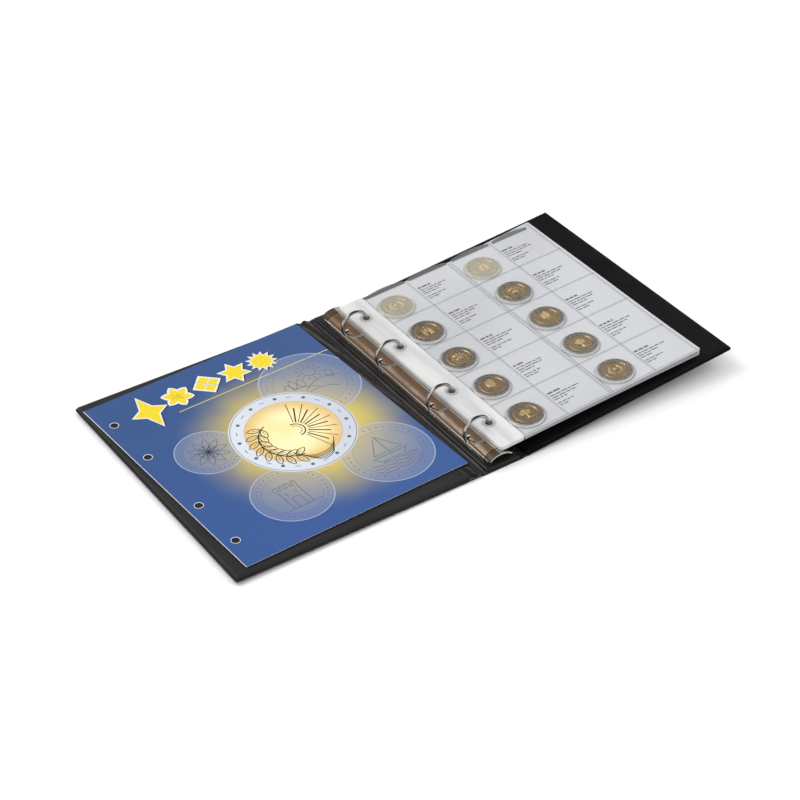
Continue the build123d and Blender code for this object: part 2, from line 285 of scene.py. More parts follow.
def margin_plastic():
    paint = Paint("margin_plastic", (0.66, 0.66, 0.66), 0.25, Coat_Weight=0.4, Coat_Roughness=0.1)
    cloud = paint.noise(paint.place(scale=(1, 0.12, 1)), 90, 3)
    paint.colour(paint.mix(paint.ease(cloud, 0.3, 0.7), (0.56, 0.57, 0.58), (0.74, 0.74, 0.735)))
    paint.bump(cloud, 0.3, 0.4)
    return paint.material


def ink(name, colour, roughness=0.4):
    paint = Paint(name, colour, roughness)
    speck = paint.noise(paint.place(), 1500, 2)
    darker = tuple(0.8 * c for c in colour)
    paint.colour(paint.mix(paint.ease(speck, 0.35, 0.8), colour, darker))
    return paint.material


def coin_metal(name, high, low, edge):
    """Worn coin metal: bright where the relief stands up, dark in its hollows, and pale at its
    edge, a painted highlight.
    """
    paint = Paint(name, high, 0.27, Metallic=1.0)
    everywhere = paint.place()
    relief = paint.attribute("relief")
    wear = paint.maths("ADD", relief, paint.maths("MULTIPLY", paint.noise(everywhere, 420, 4), 0.3))
    face = paint.mix(paint.ease(wear, 0.12, 0.85), low, high)
    # Rows marked as the edge are mixed to a pale colour: a painted highlight.
    paint.colour(paint.mix(paint.ease(relief, 1.2, 1.8), face, edge))
    paint.roughness(paint.noise(everywhere, 260, 3), 0.2, 0.4)
    paint.bump(paint.noise(everywhere, 1800, 3), 0.03, 0.5)
    return paint.material


# ---- geometry helpers ----
def add_piece(name, points, faces, material, sharp=35.0, rim=None, rim_faces=0):
    """A mesh from points in millimetres.  Its last rim_faces faces take the rim material."""
    mesh = bpy.data.meshes.new(name)
    mesh.from_pydata([Vector(p) * MM for p in points], [], faces)
    mesh.materials.append(material)
    if rim is not None:
        mesh.materials.append(rim)
        for polygon in mesh.polygons[len(faces) - rim_faces:]:
            polygon.material_index = 1
    tidy = bmesh.new()
    tidy.from_mesh(mesh)
    bmesh.ops.recalc_face_normals(tidy, faces=tidy.faces)
    for face in tidy.faces:
        face.smooth = True
    for edge in tidy.edges:
        edge.smooth = edge.calc_face_angle(0.0) < math.radians(sharp)
    tidy.to_mesh(mesh)
    tidy.free()
    piece = bpy.data.objects.new(name, mesh)
    bpy.context.scene.collection.objects.link(piece)
    return piece


def polar(x, y, radius, turn):
    """The point at a distance and an angle in radians from (x, y)."""
    return x + radius * math.cos(turn), y + radius * math.sin(turn)


def rounded_rectangle(low, high, radius, steps=6):
    """Points round a rectangle with round corners, anticlockwise."""
    points = []
    for sx, sy, start in ((1, -1, -90), (1, 1, 0), (-1, 1, 90), (-1, -1, 180)):
        cx = (high[0] if sx > 0 else low[0]) - sx * radius
        cy = (high[1] if sy > 0 else low[1]) - sy * radius
        for step in range(steps + 1):
            points.append(polar(cx, cy, radius, math.radians(start + 90 * step / steps)))
    return points


def circle(x, y, radius, count=32):
    return [polar(x, y, radius, 2 * math.pi * n / count) for n in range(count)]


def joined(*parts):
    """Several (points, faces) as one."""
    points = []
    faces = []
    for part_points, part_faces in parts:
        start = len(points)
        points += part_points
        faces += [[start + i for i in face] for face in part_faces]
    return points, faces


def flat_sheet(outline, holes, cuts_x, cuts_y):
    """The inside of an outline less its holes, cut along lines so that it can bend."""
    curve = bpy.data.curves.new("outline", "CURVE")
    curve.dimensions = "2D"
    curve.fill_mode = "BOTH"
    for loop in (outline, *holes):
        spline = curve.splines.new("POLY")
        spline.points.add(len(loop) - 1)
        for point, (x, y) in zip(spline.points, loop):
            point.co = (x, y, 0, 1)
        spline.use_cyclic_u = True
    holder = bpy.data.objects.new("outline", curve)
    bpy.context.scene.collection.objects.link(holder)
    evaluated = holder.evaluated_get(bpy.context.evaluated_depsgraph_get())
    filled = bpy.data.meshes.new_from_object(evaluated)
    cut = bmesh.new()
    cut.from_mesh(filled)
    bmesh.ops.remove_doubles(cut, verts=cut.verts, dist=1e-4)
    lines = [((x, 0, 0), (1, 0, 0)) for x in cuts_x] + [((0, y, 0), (0, 1, 0)) for y in cuts_y]
    for through, normal in lines:
        everything = cut.verts[:] + cut.edges[:] + cut.faces[:]
        bmesh.ops.bisect_plane(cut, geom=everything, plane_co=through, plane_no=normal)
    points = [(v.co.x, v.co.y) for v in cut.verts]
    cut.verts.index_update()
    faces = [[v.index for v in face.verts] for face in cut.faces]
    cut.free()
    bpy.data.objects.remove(holder)
    bpy.data.curves.remove(curve)
    bpy.data.meshes.remove(filled)
    return points, faces


def spaced(start, end, count):
    """count numbers evenly between start and end, without the two ends."""
    return [start + (end - start) * (n + 1) / (count + 1) for n in range(count)]


def thick(flat, place):
    """A closed solid between a flat's copies at level 0 and level 1.  Returns its rim count too."""
    points, faces = flat
    count = len(points)
    solid = [place(x, y, level) for level in (0, 1) for x, y in points]
    directed = {(a, b) for face in faces for a, b in zip(face, face[1:] + face[:1])}
    rim = [(a, b) for a, b in directed if (b, a) not in directed]
    rim.sort()
    solid_faces = [face[::-1] for face in faces]
    solid_faces += [[count + i for i in face] for face in faces]
    solid_faces += [[a, b, count + b, count + a] for a, b in rim]
    return solid, solid_faces, len(rim)


def lofted(low, high, radius, profile, place):
    """Rounded rectangles, each inset and raised as the profile says, joined and capped."""
    points = []
    for inset, height in profile:
        corner = max(radius - inset, 0.3)
        ring = rounded_rectangle(
            (low[0] + inset, low[1] + inset), (high[0] - inset, high[1] - inset), corner
        )
        points += [place(x, y, height) for x, y in ring]
    return points, stacked_faces(len(points) // len(profile), len(profile))


def stacked_faces(around, rings, capped=True):
    """Quads between rings of points, with caps or else joined from the last ring to the first."""
    faces = []
    for ring in range(rings - 1):
        for n in range(around):
            after = (n + 1) % around
            base = ring * around
            faces.append([base + n, base + after, base + around + after, base + around + n])
    last = (rings - 1) * around
    if capped:
        faces.append(list(range(around))[::-1])
        faces.append([last + n for n in range(around)])
    else:
        faces += [[last + n, last + (n + 1) % around, (n + 1) % around, n] for n in range(around)]
    return faces


def swept(section, stations, place):
    """A closed section carried along stations: place(a, b, station) puts each of its points."""
    points = [place(a, b, station) for station in stations for a, b in section]
    return points, stacked_faces(len(section), len(stations))


def tube(path, radius, closed=False, around=8):
    """A round bead along a path of 3-D points."""
    count = len(path)
    points = []
    for n, centre in enumerate(path):
        before = path[(n - 1) % count] if closed or n else centre
        after = path[(n + 1) % count] if closed or n < count - 1 else centre
        ahead = (Vector(after) - Vector(before)).normalized()
        side = ahead.cross(Vector((0, 0, 1)))
        side = side.normalized() if side.length > 1e-3 else Vector((1, 0, 0))
        over = side.cross(ahead).normalized()
        for step in range(around):
            turn = 2 * math.pi * step / around
            points.append(Vector(centre) + radius * (math.cos(turn) * side + math.sin(turn) * over))
    return points, stacked_faces(around, count, capped=not closed)


def revolved(profile, centre, place, around=48):
    """A closed profile of (radius, height) turned about centre."""
    points = []
    for n in range(around):
        turn = 2 * math.pi * n / around
        points += [place(*polar(*centre, radius, turn), height) for radius, height in profile]
    return points, stacked_faces(len(profile), around, capped=False)


# ---- printed shapes ----
def leaf_shape(x, y, length, width, turn):
    """A pointed leaf whose stalk end is at (x, y)."""
    c = math.cos(math.radians(turn))
    s = math.sin(math.radians(turn))
    points = []
    for side in (1, -1):
        for n in range(8):
            along = n / 8 if side > 0 else 1 - n / 8
            across = side * width / 2 * math.sin(math.pi * along) ** 0.8
            px = along * length
            points.append((x + px * c - across * s, y + px * s + across * c))
    return points, [list(range(len(points)))]


def star_shape(x, y, radii, turn=0.0):
    """A star whose points alternate through the given radii."""
    count = len(radii)
    turns = [math.radians(turn + 360 * n / count) for n in range(count)]
    points = [polar(x, y, radius, angle) for radius, angle in zip(radii, turns)]
    return points, [list(range(count))]


def ribbon(path, width, closed=False):
    """A flat line of even width along a path."""
    count = len(path)
    points = []
    for n, (x, y) in enumerate(path):
        before = path[(n - 1) % count] if closed or n else (x, y)
        after = path[(n + 1) % count] if closed or n < count - 1 else (x, y)
        dx = after[0] - before[0]
        dy = after[1] - before[1]
        size = math.hypot(dx, dy) or 1.0
        points.append((x - dy / size * width / 2, y + dx / size * width / 2))
        points.append((x + dy / size * width / 2, y - dx / size * width / 2))
    pairs = count if closed else count - 1
    faces = []
    for n in range(pairs):
        a = 2 * n
        b = 2 * ((n + 1) % count)
        faces.append([a, a + 1, b + 1, b])
    return points, faces


def arc(x, y, radius, start, end, count=24):
    turns = [math.radians(start + (end - start) * n / (count - 1)) for n in range(count)]
    return [polar(x, y, radius, turn) for turn in turns]


def bar(x, y, width, height):
    return [(x, y), (x + width, y), (x + width, y + height), (x, y + height)], [[0, 1, 2, 3]]


def printed(name, shapes, place, level, material, thickness=0.03):
    """Shapes of ink lying on a sheet, as thin closed solids from level upwards."""
    def ink_place(x, y, top):
        return place(x, y, level + top * thickness)

    solid, faces, _ = thick(joined(*shapes), ink_place)
    return add_piece(name, solid, faces, material)


# ---- covers and spine ----
LINING_PROFILE = (
    (1.6, BOARD_TOP), (1.6, 0.74), (0.2, 0.74), (0.02, 0.86), (0.0, 1.0), (0.04, 1.16),
    (0.2, 1.28), (0.5, 1.3), (0.75, 1.22), (0.95, 1.1), (1.08, 1.2), (1.12, 1.7), (1.2, 2.25),
    (1.42, 2.8), (1.8, 3.15), (2.3, 3.33), (3.0, 3.39), (5.0, SHELL), (12.0, SHELL),
)
SKIN_PROFILE = (
    (1.5, SKIN), (0.2, SKIN), (0.03, 0.6), (0.0, 0.45), (0.06, 0.25), (0.25, 0.1), (0.6, 0.03),
    (1.2, 0.0), (2.6, 0.0),
)


def make_cover(name, plane, lining_vinyl, outer_vinyl):
    """A cover's two vinyls, welded together round the board that CAD holds."""
    board_low, board_high = local_box(f"{name}_board", plane)
    low = (board_low.x - WELD_RIM, board_low.y - WELD_RIM)
    high = (board_high.x + WELD_RIM, board_high.y + WELD_RIM)

    def place(x, y, height):
        return plane @ Vector((x, y, height))

    for layer, profile, material, slot in (
        ("lining", LINING_PROFILE, lining_vinyl, "vinyl_lining"),
        ("outer_skin", SKIN_PROFILE, outer_vinyl, "black_vinyl"),
    ):
        points, faces = lofted(low, high, CORNER, profile, place)
        piece = add_piece(f"{name}_{layer}_vinyl", points, faces, material, sharp=50)
        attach(piece, f"{name}_cover")
        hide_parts(f"{name}_{layer}")


def make_spine_lining(material):
    low = (-SPINE_HALF - 1.0, COVER_Y - COVER_HALF_HEIGHT)
    high = (SPINE_HALF + 1.0, COVER_Y + COVER_HALF_HEIGHT)
    points, faces = lofted(low, high, 1.5, LINING_PROFILE[:-1], lambda x, y, z: Vector((x, y, z)))
    piece = add_piece("spine_lining_vinyl", points, faces, material, sharp=50)
    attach(piece, "spine")
    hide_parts("spine_lining")


# (share of the width, height) of a hinge strip's upper face, from its spine side outwards;
# shares over 1 lie on the board's edge
FRONT_STRIP = (
    (0.0, 1.9), (0.05, 1.5), (0.11, 0.95), (0.2, 0.85), (0.27, 1.0), (0.31, 2.1), (0.345, 3.1),
    (0.38, 3.36), (0.44, 3.28), (0.6, 3.2), (0.8, 3.26), (0.95, 3.34), (1.0, 3.36), (1.01, 3.37),
    (1.05, 3.41), (1.09, 3.405),
)
BACK_STRIP = (
    (0.0, 1.2), (0.15, 1.05), (0.35, 1.3), (0.5, 1.45), (0.65, 1.3), (0.85, 1.05), (1.0, 1.15),
)
STRIP_BOTTOM = 0.06
STRIP_OVER_BOARD = 0.06     # from the board's top to the part of a strip that lies on it
STRIP_STATIONS = 119
STRIP_FINE = 3              # steps between two points of a strip's section


def make_hinge_strip(name, side, hinge_x, tilt, board_edge, heights, material):
    """Soft vinyl across one hinge line: grooves and ridges that bend with the cover."""
    spine_edge = side * (SPINE_HALF + 0.2)
    outer_edge = board_edge + side * 0.2
    fine = []
    for (a, low), (b, high) in zip(heights, heights[1:]):
        for step in range(STRIP_FINE):
            t = step / STRIP_FINE
            eased = t * t * (3 - 2 * t)
            fine.append((a + (b - a) * t, low + (high - low) * eased))
    fine.append(heights[-1])
    upper = [(spine_edge + (outer_edge - spine_edge) * share, z) for share, z in fine]
    lower = [
        (x, STRIP_BOTTOM if abs(x) <= abs(outer_edge) else BOARD_TOP + STRIP_OVER_BOARD)
        for x, _ in reversed(upper)
    ]

    def place(x, z, y):
        beyond = max(0.0, side * (x - hinge_x))
        lift = beyond * math.tan(math.radians(tilt))
        ridge = max(0.0, z - 1.2)
        end = max(0.0, abs(y - COVER_Y) - COVER_HALF_HEIGHT + 14.0) / 14.0
        wave = 0.10 * math.sin(0.11 * y + x) + 0.06 * math.sin(0.31 * y - 0.4 * x)
        crumple = 0.35 * end * math.sin(1.3 * y + 0.9 * x)
        z_here = z + ridge * (wave - 0.45 * end * end + crumple) + lift
        return Vector((x, y, z_here))

    near_end = COVER_Y - COVER_HALF_HEIGHT
    far_end = COVER_Y + COVER_HALF_HEIGHT
    stations = [near_end + 0.3, far_end - 0.3] + spaced(near_end, far_end, STRIP_STATIONS)
    points, faces = swept(upper + lower, sorted(stations), place)
    piece = add_piece(name, points, faces, material, sharp=60)
    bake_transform(piece)


# ---- ring mechanism ----
def arch_point(angle, y, inset):
    """A point of the arched plate, angle degrees from its crown and inset below its outside."""
    a = math.radians(angle)
    x = (PLATE_HALF - inset) * math.sin(a)
    return Vector((x, y, PLATE_BASE + (PLATE_RISE - inset) * math.cos(a)))


SLOT_MIDDLE = 54.5          # degrees from the crown
SLOT_HALF = 24.0
SLOT_HALF_WIDTH = 1.8
PLATE_WALL = 0.9


def slot_outline(side, y):
    """A teardrop slot: narrow towards the crown and round below."""
    points = []
    for n in range(20):
        turn = 2 * math.pi * n / 20
        across = SLOT_HALF_WIDTH * math.sin(turn) * (0.78 + 0.22 * math.cos(turn))
        points.append((side * (SLOT_MIDDLE + SLOT_HALF * math.cos(turn)), y + across))
    return points


def make_plate(material):
    """The arched plate with eight slots, beaded slot rims and rolled long edges."""
    slots = [slot_outline(side, y) for side in (-1, 1) for y in RING_Y]
    outline = [(-90, -PLATE_HALF_LENGTH), (90, -PLATE_HALF_LENGTH)]
    outline += [(90, PLATE_HALF_LENGTH), (-90, PLATE_HALF_LENGTH)]
    flat = flat_sheet(outline, slots, spaced(-90, 90, 35), spaced(-99, 99, 23))

    def place(angle, y, level):
        return arch_point(angle, y, PLATE_WALL * (1 - level))

    points, faces, _ = thick(flat, place)
    parts = [(points, faces)]
    for slot in slots:
        rim = [arch_point(angle, y, 0.02) for angle, y in slot]
        parts.append(tube(rim, 0.22, closed=True))
    for side in (-1, 1):
        for angle, size in ((88.0, 0.42), (80.0, 0.16)):
            edge = [arch_point(side * angle, y, 0.1) for y in spaced(-100, 100, 40)]
            parts.append(tube(edge, size))
    points, faces = joined(*parts)
    piece = add_piece("arched_plate", points, faces, material, sharp=40)
    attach(piece, "spine")
    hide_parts("mechanism_plate")


# ---- pages ----
LENGTH_WELDS = (60.5, 99.2, 101.6, 140.5, 179.4)
FIRST_CROSS = 59.8
CROSS_PITCH = 41.1
PATCH_RADIUS = 4.1          # middle of the clear ring stuck round a hole
PATCH_WIDTH = 2.2
MARGIN_SETBACK = 3.0        # how far a ring margin ends short of the page's far edge
WELD_WIDTH = 1.3
WELD_HEIGHT = 0.12
CARD_SETBACK = 6.0          # how far card and film end short of it at the pockets' far mouths
CARD_SETBACK_END = 101.0    # from here their far edge runs out to its corner
# how far a page sinks outwards, rises at its near outer corner and rises along its near edge
DROOP = {"top": 0.0, "middle": 0.35, "bottom": 0.7}
FLARE = {"top": 0.6, "middle": 0.25, "bottom": 0.0}
LIFT = {"top": 0.3, "middle": 0.12, "bottom": 0.0}
POCKET_RADIUS = 14.0         # opening in the flat film under a coin's dome
LOWER_FILM_TOP = 0.52       # the film of the two lower pages lies closer to their cards
LABEL_STARTS = (62.6, 142.0)
LABEL_LINES = (
    (9.0, 1.9, 0.45), (6.0, 1.1, 0.95), (3.4, 1.1, 0.8), (0.8, 1.1, 0.5),
    (-3.6, 1.1, 0.62), (-6.2, 1.1, 0.4),
)                           # height above the coin's row, letter height, share of the width
LABEL_WIDTH = 30.0


def page_edges(name):
    """Where a page starts, at its ring edge, and where its holes are."""
    middle = PAGE_UNDERSIDE[name] + PAGE_THICK / 2
    holes = math.sqrt(RING_RADIUS**2 - middle**2)
    return holes - HOLE_INSET, holes


def page_place(name):
    """How a page lies: a gentle wave, a droop and a flared near corner, away from its rings."""
    def place(x, y, height):
        out = max(0.0, (x - MARGIN_WIDTH) / (PAGE_WIDTH - MARGIN_WIDTH))
        near = max(0.0, -y / PAGE_HEIGHT * 2)
        wave = 0.07 * out * (math.sin(0.05 * y + 0.6) + math.sin(0.06 * x))
        lift = LIFT[name] * min(1.0, 4 * out) * near**5
        shape = wave - DROOP[name] * out**2 + FLARE[name] * out**3 * near**3 + lift
        return PAGE_PLANE @ Vector((x, y, PAGE_UNDERSIDE[name] + height + shape))

    return place


def far_edge(start, x):
    """The far edge of a page's card and film: set back, then running out to its corner."""
    outwards = max(0.0, x - start - CARD_SETBACK_END) / (PAGE_WIDTH - CARD_SETBACK_END)
    return PAGE_Y + PAGE_HEIGHT / 2 - CARD_SETBACK * (1 - outwards)


def page_outline(start, low_x, beyond):
    """A page's outline from low_x to its outer edge; its far edge is beyond that of its card."""
    high_x = start + PAGE_WIDTH
    low_y = PAGE_Y - PAGE_HEIGHT / 2
    high_y = PAGE_Y + PAGE_HEIGHT / 2
    turn_x = start + CARD_SETBACK_END
    outline = [(low_x, low_y), (high_x - 1.6, low_y), (high_x, low_y + 1.6), (high_x, high_y - 1.2)]
    outline += [(high_x - 1.2, high_y), (turn_x, far_edge(start, turn_x) + beyond)]
    return outline + [(low_x, far_edge(start, low_x) + beyond)]


def coin_spots():
    """Coin centres in the page's plane, from the far row to the near one."""
    middle = (COIN_ROWS - 1) / 2
    return [
        (x, COIN_GRID_Y + (middle - row) * COIN_PITCH, row)
        for x in COIN_COLUMNS
        for row in range(COIN_ROWS)
    ]


def make_margin(name, material, patch):
    """The white ring strip: fine ribs towards the pockets and a patch round each hole."""
    start, holes_x = page_edges(name)
    end = start + MARGIN_WIDTH - 0.1
    low = (start, PAGE_Y - PAGE_HEIGHT / 2)
    high = (end, PAGE_Y + PAGE_HEIGHT / 2 - MARGIN_SETBACK)
    holes = [circle(holes_x, y, HOLE_RADIUS) for y in RING_Y]
    cuts = [end - 0.3 * n for n in range(1, 30)] + [start + 1.2, start + 2.4]
    flat = flat_sheet(rounded_rectangle(low, high, 1.8), holes, cuts, spaced(low[1], high[1], 12))
    lie = page_place(name)

    def place(x, y, level):
        ribbed = 0.5 - 0.5 * math.cos(2 * math.pi * (end - x) / 1.5)
        rib = 0.16 * ribbed if end - x < 8.0 else 0.0
        rolled = 0.15 * max(0.0, 1 - (x - start) / 1.5)
        return lie(x, y, level * (PAGE_THICK - rib - rolled))

    points, faces, _ = thick(flat, place)
    piece = add_piece(f"{name}_page_ring_margin", points, faces, material, sharp=70)
    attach(piece, f"{name}_page")
    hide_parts(f"{name}_page_margin")
    rings = [ribbon(circle(holes_x, y, PATCH_RADIUS, 32), PATCH_WIDTH, closed=True) for y in RING_Y]
    patches = printed(f"{name}_page_hole_patches", rings, lie, PAGE_THICK, patch, 0.12)
    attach(patches, f"{name}_page")


def make_card(name, card, text):
    """The white insert with grey bars in place of its printed labels."""
    start, _ = page_edges(name)
    low = (start + MARGIN_WIDTH, PAGE_Y - PAGE_HEIGHT / 2)
    high = (start + PAGE_WIDTH, PAGE_Y + PAGE_HEIGHT / 2)
    cuts = (spaced(low[0], high[0], SHEET_CUTS), spaced(low[1], high[1], SHEET_CUTS))
    outline = page_outline(start, low[0], 0.0)
    flat = flat_sheet(outline, [], *cuts)
    lie = page_place(name)
    points, faces, _ = thick(flat, lambda x, y, level: lie(x, y, level * CARD_THICK))
    piece = add_piece(f"{name}_page_card", points, faces, card)
    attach(piece, f"{name}_page")
    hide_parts(f"{name}_page_insert")
    words = []
    for x_start in LABEL_STARTS:
        for row in range(COIN_ROWS):
            y_row = COIN_GRID_Y + ((COIN_ROWS - 1) / 2 - row) * COIN_PITCH
            words += label_bars(x_start, y_row)
    labels = printed(f"{name}_page_labels", words, lie, CARD_THICK, text)
    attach(labels, f"{name}_page")


def label_bars(x_start, y_row):
    """Short bars in lines, as wide as words are."""
    words = []
    for rise, height, share in LABEL_LINES:
        x = x_start
        end = x_start + LABEL_WIDTH * share * RANDOM.uniform(0.75, 1.0)
        while x < end - 1.5:
            width = min(RANDOM.uniform(2.2, 6.0), end - x)
            words.append(bar(x, y_row + rise, width, height * 0.92))
            x += width + 0.9
    return words


def pocket_profile(base):
    """Half section of the dome over a coin, from its welded foot to its crown and back inside."""
    outer = ((15.1, 0.0), (15.0, 0.12), (14.4, 0.16), (13.95, 0.35), (13.75, 0.9), (13.65, 1.9))
    crown = ((13.4, 2.35), (12.9, 2.52), (11.5, 2.56), (6.0, 2.58), (0.4, 2.58))
    inner = ((0.4, 2.46), (6.0, 2.46), (11.4, 2.44), (12.8, 2.40), (13.2, 2.24), (13.45, 1.85))
    foot = ((13.55, 0.9), (13.7, 0.3), (14.2, 0.06), (15.0, 0.0))
    return [(radius, base + height) for radius, height in outer + crown + inner + foot[:-1]]


def highlight_wall_profile(base):
    """Half section of the whitish ring round a coin, inside the dome: a painted highlight for the
    light that the pocket film catches round the coin's edge.
    """
    rows = ((13.3, 0.12), (13.62, 0.3), (13.5, 0.9), (13.3, 1.8), (13.22, 1.8), (13.3, 0.9))
    return [(radius, base + height) for radius, height in rows]


def weld_line(lie, start, end, level):
    """A low rounded ridge from start to end on the film."""
    length = math.hypot(end[0] - start[0], end[1] - start[1])
    ux = (end[0] - start[0]) / length
    uy = (end[1] - start[1]) / length
    half = WELD_WIDTH / 2
    section = ((-half, -0.02), (half, -0.02), (half * 0.8, 0.4), (half * 0.4, 0.9), (0, 1.0))
    section += ((-half * 0.4, 0.9), (-half * 0.8, 0.4))

    def place(across, height, along):
        x = start[0] + ux * along - uy * across
        y = start[1] + uy * along + ux * across
        return lie(x, y, level + height * WELD_HEIGHT)

    stations = [length * n / 24 for n in range(25)]
    return swept(section, stations, place)


def make_film(name, film, weld, far_row_sheen, pale):
    """Clear film over the card, with its weld lines and, on the top page, coin pockets."""
    start, _ = page_edges(name)
    low = (start + MARGIN_WIDTH - 0.4, PAGE_Y - PAGE_HEIGHT / 2)
    high = (start + PAGE_WIDTH, PAGE_Y + PAGE_HEIGHT / 2)
    base = CARD_THICK + FILM_GAP
    film_top = PAGE_THICK if name == "top" else LOWER_FILM_TOP
    lie = page_place(name)
    spots = coin_spots() if name == "top" else []
    holes = [circle(x, y, POCKET_RADIUS, 40) for x, y, _ in spots]
    cuts = (spaced(low[0], high[0], SHEET_CUTS), spaced(low[1], high[1], SHEET_CUTS))
    flat = flat_sheet(page_outline(start, low[0], 0.5), holes, *cuts)
    points, faces, _ = thick(
        flat, lambda x, y, level: lie(x, y, base + level * (film_top - base))
    )
    piece = add_piece(f"{name}_page_clear_film", points, faces, film)
    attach(piece, f"{name}_page")
    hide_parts(f"{name}_page_film")

    crossings = [FIRST_CROSS - CROSS_PITCH * n for n in range(COIN_ROWS - 1)]
    crossings += [low[1] + 1.4]
    welds = [
        weld_line(lie, (x, low[1] + 1), (x, far_edge(start, x) - 0.4), film_top)
        for x in (low[0] + 0.9,) + LENGTH_WELDS
    ]
    welds += [weld_line(lie, (low[0] + 0.8, y), (high[0] - 1.5, y), film_top) for y in crossings]
    points, faces = joined(*welds)
    lines = add_piece(f"{name}_page_weld_lines", points, faces, weld, sharp=60)
    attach(lines, f"{name}_page")

    for number, (x, y, row) in enumerate(spots, 1):
        points, faces = revolved(pocket_profile(base), (x, y), lie, 64)
        # The far row's domes take a cream, cloudier film: a painted sheen over those coins.
        dome = add_piece(f"coin_pocket_{number:02d}", points, faces, far_row_sheen if row == 0 else film)
        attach(dome, "top_page")
    # Whitish rings round the coins inside the domes: a painted highlight.
    walls = [revolved(highlight_wall_profile(base), (x, y), lie, 48) for x, y, _ in spots]
    if walls:
        points, faces = joined(*walls)
        wall = add_piece("coin_pocket_highlight_walls", points, faces, pale, sharp=60)
        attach(wall, "top_page")


FILM_LIPS = ((23.0, 59.0), (62.5, 98.0), (103.5, 139.0), (142.5, 176.0))
LIP_RISE = 0.3
LIP_THICK = 0.12


def make_film_lips(film):
    """The pockets' far mouths: front film that stands a little open past the card."""
    lie = page_place("top")
    edge = PAGE_Y + PAGE_HEIGHT / 2

    def lip(x_start, x_end):
        length = x_end - x_start

        def place(along, level, n):
            share = n / 20
            bow = math.sin(math.pi * share)
            reach = CARD_SETBACK - 2.6 - 2.2 * (1 - bow)
            y = edge - CARD_SETBACK - 1.5 + along * (1.5 + max(0.0, reach))
            rise = LIP_RISE * bow * along**1.6 + level * LIP_THICK
            return lie(x_start + length * share, y, PAGE_THICK - 0.05 + rise)

        steps = [n / 6 for n in range(7)]
        section = [(s, 0) for s in steps] + [(s, 1) for s in reversed(steps)]
        return swept(section, range(21), place)

    points, faces = joined(*[lip(*ends) for ends in FILM_LIPS])
    piece = add_piece("top_page_film_lips", points, faces, film, sharp=60)
    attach(piece, "top_page")


# ---- coins ----
def smooth(value):
    value = min(1.0, max(0.0, value))
    return value * value * (3 - 2 * value)


def oval(x, y, cx, cy, rx, ry, turn=0.0, soft=0.35):
    """1 inside an oval, falling to 0 past its edge."""
    c = math.cos(math.radians(turn))
    s = math.sin(math.radians(turn))
    dx = x - cx
    dy = y - cy
    away = math.hypot((dx * c + dy * s) / rx, (dy * c - dx * s) / ry)
    return smooth((1 - away) / soft + 0.5)


def sprigs(x, y):
    """Two leafy branches that meet below a bead."""
    height = oval(x, y, 0, 0.12, 0.17, 0.17)
    for side in (-1, 1):
        for n in range(5):
            angle = math.radians(250 + side * (16 + 27 * n) * -1 + (20 if side < 0 else 0))
            lx, ly = polar(0.0, 0.0, 0.56, angle)
            lean = math.degrees(angle) + 90 + side * 28
            height = max(height, oval(x, y, lx, ly, 0.19, 0.075, lean))
    return height


def tree(x, y):
    height = oval(x, y, 0, -0.35, 0.07, 0.36)
    crowns = ((0, 0.42), (-0.3, 0.2), (0.3, 0.2), (-0.2, -0.02), (0.22, -0.04), (0, 0.15))
    for cx, cy in crowns:
        height = max(height, oval(x, y, cx, cy, 0.2, 0.15))
    return max(height, 0.7 * oval(x, y, 0, -0.68, 0.5, 0.06))


def gateway(x, y):
    """A tower gate with an arch and battlements."""
    body = smooth((0.46 - abs(x)) * 9) * smooth((0.28 - y) * 9) * smooth((y + 0.62) * 9)
    opening = max(oval(x, y, 0, -0.22, 0.19, 0.22), oval(x, y, 0, -0.55, 0.19, 0.3))
    teeth = smooth((math.cos(x * 22) - 0.1) * 3) * smooth((0.5 - abs(x)) * 9)
    top = teeth * smooth((0.47 - y) * 9) * smooth((y - 0.2) * 9)
    return max(body * (1 - opening), top, 0.8 * oval(x, y, 0, 0.68, 0.09, 0.09))


def sunrise(x, y):
    """Rays over long low waves."""
    away = math.hypot(x, y + 0.1)
    rays = smooth(math.cos(math.atan2(y + 0.1, x) * 13) * 2) * smooth((0.8 - away) * 8)
    height = max(oval(x, y, 0, -0.1, 0.27, 0.27), rays * smooth((away - 0.33) * 9))
    sea = smooth(math.cos((y + 0.05 * math.sin(9 * x)) * 34) * 1.6) * smooth((0.72 - abs(x)) * 5)
    return sea if y < -0.22 else height


def boat(x, y):
    hull = smooth((0.5 - abs(x) - 0.5 * max(0.0, -y - 0.3)) * 8) * smooth(0.5 - abs(y + 0.4) * 5)
    sails = 0.0
    for cx, tall, wide in ((-0.22, 0.42, 0.17), (0.12, 0.55, 0.24)):
        sails = max(sails, oval(x, y, cx, 0.12 + tall * 0.3, wide, tall, 0, 0.25))
    sea = smooth(math.cos(x * 20) * 1.5) * smooth(0.5 - abs(y + 0.66) * 9)
    return max(hull, sails, 0.8 * sea)


MOTIFS = (tree, sprigs, gateway, sunrise, boat)
CORE_RELIEF = 0.32
CORE_RINGS = 30
COIN_TURNS = 120


